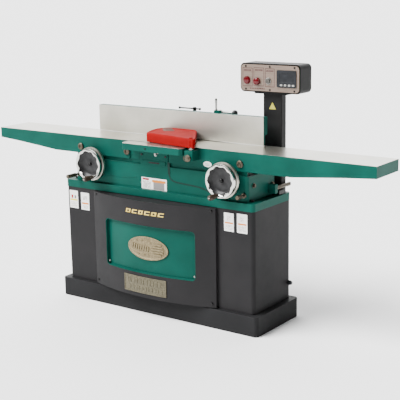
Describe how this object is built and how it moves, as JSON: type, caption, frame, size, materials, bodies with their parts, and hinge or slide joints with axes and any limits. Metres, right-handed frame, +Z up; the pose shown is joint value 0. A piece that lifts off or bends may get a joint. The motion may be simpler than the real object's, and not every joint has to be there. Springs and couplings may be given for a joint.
{
  "type": "surface planer",
  "caption": "Long-bed floor-standing surface planer (jointer): two tables on parallelogram links, helical cutterhead, tilting fence, swing guard, bow-front cabinet and raised control box.",
  "frame": {"origin": "centre of the plinth's underside, on the floor", "axes": "+X along the bed towards the infeed end, +Y away from the operator, +Z up"},
  "size_m": [2.108, 0.518, 1.168],
  "materials": {
    "green": "satin enamel",
    "green_light": "satin enamel",
    "charcoal": "satin powder coat",
    "dark": "satin powder coat",
    "black": "moulded",
    "cast_table": "precision ground top, painted sides",
    "steel": "turned",
    "chrome": "polished",
    "pewter": "cast relief, antique finish",
    "red": "gloss enamel",
    "red_plastic": "moulded",
    "rubber": "moulded",
    "galvanised": "galvanised sheet",
    "face": "brushed and anodised",
    "board": "circuit board",
    "white": "moulded",
    "grip": "moulded"
  },
  "bodies": {
    "base": {"plinth": "dark", "cabinet": "charcoal", "bow_panel": "charcoal", "recess_panel": "green_light", "oval_badge": "pewter", "name_plate": "pewter", "cable_gland": "black", "base_casting": "green", "elevation_gearbox_outfeed": "green", "elevation_gearbox_infeed": "green", "bearing_front": "green", "bearing_rear": "steel", "drive_belt": "rubber", "belt_cover": "green", "motor_body": "dark", "motor_mount": "charcoal", "dust_chute": "galvanised", "dust_port": "galvanised", "fence_slide_base": "green", "post": "dark", "control_box": "dark", "face_plate": "face", "display_unit": "black", "control_board": "board"},
    "outfeed_link_a": {"outfeed_link_a": "steel"},
    "outfeed_link_b": {"outfeed_link_b": "steel"},
    "outfeed_table": {"outfeed_table": "cast_table"},
    "infeed_link_a": {"infeed_link_a": "steel"},
    "infeed_link_b": {"infeed_link_b": "steel"},
    "infeed_table": {"infeed_table": "cast_table", "guard_bracket": "black"},
    "guard": {"guard": "red", "guard_spindle": "steel"},
    "guard_knob": {"guard_knob": "steel"},
    "handwheel_left": {"handwheel_left": "steel"},
    "handwheel_right": {"handwheel_right": "steel"},
    "handle_left": {"handle_left": "grip"},
    "handle_right": {"handle_right": "grip"},
    "cutterhead": {"cutterhead": "steel", "cutterhead_pulley": "steel"},
    "motor_rotor": {"motor_shaft": "steel", "motor_pulley": "steel"},
    "fence_carriage": {"fence_carriage": "green"},
    "fence": {"fence": "cast_table", "tilt_handle": "chrome"},
    "tilt_lock_lever": {"tilt_lock_lever": "black"},
    "slide_lock_lever": {"slide_lock_lever": "chrome"},
    "table_lock_left": {"table_lock_left": "steel"},
    "table_lock_right": {"table_lock_right": "steel"},
    "rear_table_lock": {"rear_table_lock": "steel"},
    "stop_button": {"stop_button": "red_plastic"},
    "emergency_stop": {"emergency_stop": "red_plastic"},
    "start_button": {"start_button": "steel"},
    "display_key_1": {"display_key_1": "white"},
    "display_key_2": {"display_key_2": "white"},
    "display_key_3": {"display_key_3": "white"},
    "display_key_4": {"display_key_4": "white"}
  },
  "joints": [
    {"name": "infeed_elevation", "type": "hinge", "parent": "base", "child": "infeed_link_a", "pos_m": [0.431, 0, 0.688], "axis": [0, 1, 0], "range_deg": [-1, 15]},
    {"name": "infeed_level", "type": "hinge", "parent": "infeed_link_a", "child": "infeed_table", "pos_m": [0.471, 0, 0.758], "axis": [0, 1, 0], "range_deg": [-16, 2]},
    {"name": "infeed_link_b_swing", "type": "hinge", "parent": "base", "child": "infeed_link_b", "pos_m": [0.146, 0, 0.688], "axis": [0, 1, 0], "range_deg": [-2, 16]},
    {"name": "outfeed_elevation", "type": "hinge", "parent": "base", "child": "outfeed_link_a", "pos_m": [-0.406, 0, 0.688], "axis": [0, -1, 0], "range_deg": [-2, 3]},
    {"name": "outfeed_level", "type": "hinge", "parent": "outfeed_link_a", "child": "outfeed_table", "pos_m": [-0.446, 0, 0.758], "axis": [0, -1, 0], "range_deg": [-4, 3]},
    {"name": "outfeed_link_b_swing", "type": "hinge", "parent": "base", "child": "outfeed_link_b", "pos_m": [-0.119, 0, 0.688], "axis": [0, -1, 0], "range_deg": [-3, 4]},
    {"name": "handwheel_right_turn", "type": "hinge", "parent": "base", "child": "handwheel_right", "pos_m": [0.4025, 0, 0.6855], "axis": [0, 1, 0], "range_deg": [-60, 750]},
    {"name": "handwheel_left_turn", "type": "hinge", "parent": "base", "child": "handwheel_left", "pos_m": [-0.3555, 0, 0.6855], "axis": [0, -1, 0], "range_deg": [-120, 180]},
    {"name": "handle_right_spin", "type": "hinge", "parent": "handwheel_right", "child": "handle_right", "pos_m": [0.3901, -0.24, 0.62169], "axis": [0, 1, 0], "continuous": true},
    {"name": "handle_left_spin", "type": "hinge", "parent": "handwheel_left", "child": "handle_left", "pos_m": [-0.32599, -0.24, 0.62758], "axis": [0, 1, 0], "continuous": true},
    {"name": "cutterhead_spin", "type": "hinge", "parent": "base", "child": "cutterhead", "pos_m": [0.013, 0, 0.77], "axis": [0, 1, 0], "continuous": true},
    {"name": "motor_spin", "type": "hinge", "parent": "base", "child": "motor_rotor", "pos_m": [0.013, 0, 0.3], "axis": [0, 1, 0], "continuous": true},
    {"name": "fence_slide", "type": "slide", "parent": "base", "child": "fence_carriage", "axis": [0, 1, 0], "range_m": [-0.115, 0]},
    {"name": "fence_tilt", "type": "hinge", "parent": "fence_carriage", "child": "fence", "pos_m": [0, 0.054, 0.82], "axis": [-1, 0, 0], "range_deg": [0, 25]},
    {"name": "tilt_lock", "type": "hinge", "parent": "fence", "child": "tilt_lock_lever", "pos_m": [0.207, 0.087, 0.938], "axis": [0, 1, 0], "range_deg": [-40, 40]},
    {"name": "slide_lock", "type": "hinge", "parent": "fence_carriage", "child": "slide_lock_lever", "pos_m": [0.005, 0.168, 0.932], "axis": [0, 0, 1], "range_deg": [-60, 20]},
    {"name": "guard_swing", "type": "hinge", "parent": "infeed_table", "child": "guard", "pos_m": [0.232, -0.174, 0.835], "axis": [0, 0, 1], "range_deg": [0, 62]},
    {"name": "guard_knob_turn", "type": "hinge", "parent": "infeed_table", "child": "guard_knob", "pos_m": [0.238, -0.205, 0.771], "axis": [0, 1, 0], "range_deg": [-90, 90]},
    {"name": "table_lock_left_turn", "type": "hinge", "parent": "base", "child": "table_lock_left", "pos_m": [-0.464, -0.18, 0.621], "axis": [0, 1, 0], "range_deg": [-90, 90]},
    {"name": "table_lock_right_turn", "type": "hinge", "parent": "base", "child": "table_lock_right", "pos_m": [0.488, -0.18, 0.621], "axis": [0, 1, 0], "range_deg": [-90, 90]},
    {"name": "rear_table_lock_turn", "type": "hinge", "parent": "base", "child": "rear_table_lock", "pos_m": [0.53, 0.1, 0.624], "axis": [0, 1, 0], "range_deg": [-60, 60]},
    {"name": "stop_button_press", "type": "slide", "parent": "base", "child": "stop_button", "axis": [0, 1, 0], "range_m": [0, 0.004], "stiffness_N_per_m": 600},
    {"name": "emergency_stop_press", "type": "slide", "parent": "base", "child": "emergency_stop", "axis": [0, 1, 0], "range_m": [0, 0.006], "stiffness_N_per_m": 600},
    {"name": "start_button_press", "type": "slide", "parent": "base", "child": "start_button", "axis": [0, 1, 0], "range_m": [0, 0.003], "stiffness_N_per_m": 600},
    {"name": "display_key_1_press", "type": "slide", "parent": "base", "child": "display_key_1", "axis": [0, 1, 0], "range_m": [0, 0.001], "stiffness_N_per_m": 400},
    {"name": "display_key_2_press", "type": "slide", "parent": "base", "child": "display_key_2", "axis": [0, 1, 0], "range_m": [0, 0.001], "stiffness_N_per_m": 400},
    {"name": "display_key_3_press", "type": "slide", "parent": "base", "child": "display_key_3", "axis": [0, 1, 0], "range_m": [0, 0.001], "stiffness_N_per_m": 400},
    {"name": "display_key_4_press", "type": "slide", "parent": "base", "child": "display_key_4", "axis": [0, 1, 0], "range_m": [0, 0.001], "stiffness_N_per_m": 400}
  ],
  "couplings": [
    {"joint": "infeed_level", "follows": "infeed_elevation", "ratio": -1},
    {"joint": "infeed_link_b_swing", "follows": "infeed_elevation", "ratio": 1},
    {"joint": "handwheel_right_turn", "follows": "infeed_elevation", "ratio": 48},
    {"joint": "outfeed_level", "follows": "outfeed_elevation", "ratio": -1},
    {"joint": "outfeed_link_b_swing", "follows": "outfeed_elevation", "ratio": 1},
    {"joint": "handwheel_left_turn", "follows": "outfeed_elevation", "ratio": 48},
    {"joint": "motor_spin", "follows": "cutterhead_spin", "ratio": 0.66667},
    {"joint": "guard_swing", "follows": "fence_slide", "rad_per_m": -9.2}
  ]
}
